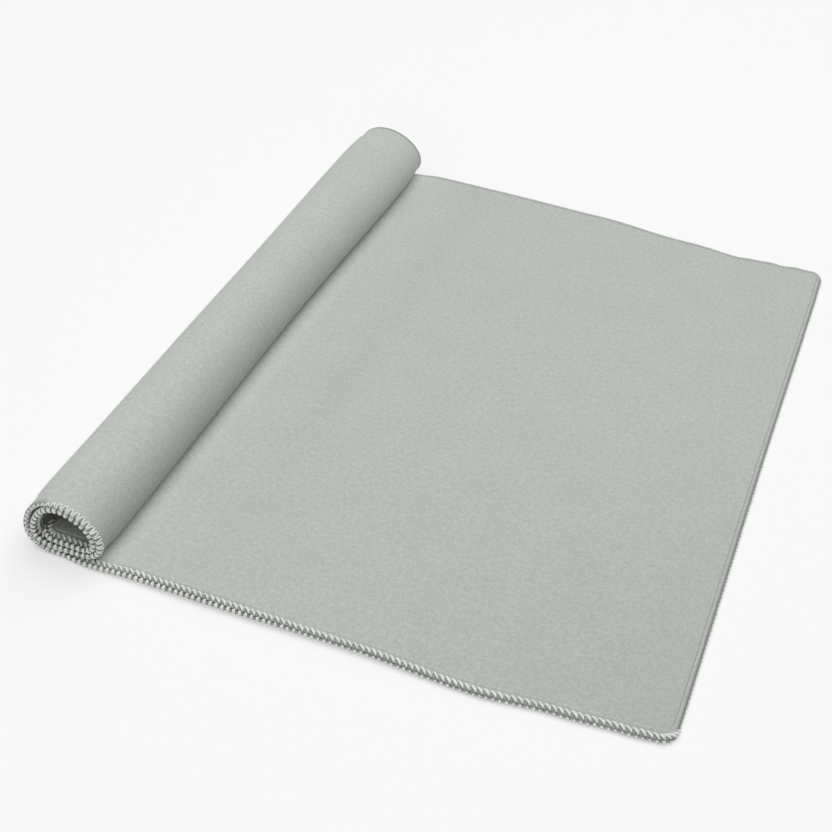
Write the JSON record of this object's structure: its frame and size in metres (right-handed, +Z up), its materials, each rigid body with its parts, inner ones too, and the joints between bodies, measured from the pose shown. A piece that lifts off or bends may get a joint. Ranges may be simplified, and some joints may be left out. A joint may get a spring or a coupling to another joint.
{
  "type": "sports towel",
  "caption": "Small rectangular sports towel of thick napped cloth with an overcast rim, loosely rolled up from one end and lying flat for the rest.",
  "frame": {"origin": "middle of the towel's footprint, on the surface it lies on", "axes": "+X across the flat part, away from the roll; +Y along the roll, from its near end to its far end; +Z up"},
  "size_m": [0.3104, 0.411, 0.0335],
  "materials": {
    "cloth": "soft matt short nap, sage grey"
  },
  "bodies": {
    "root": {"towel": "cloth"}
  },
  "joints": []
}
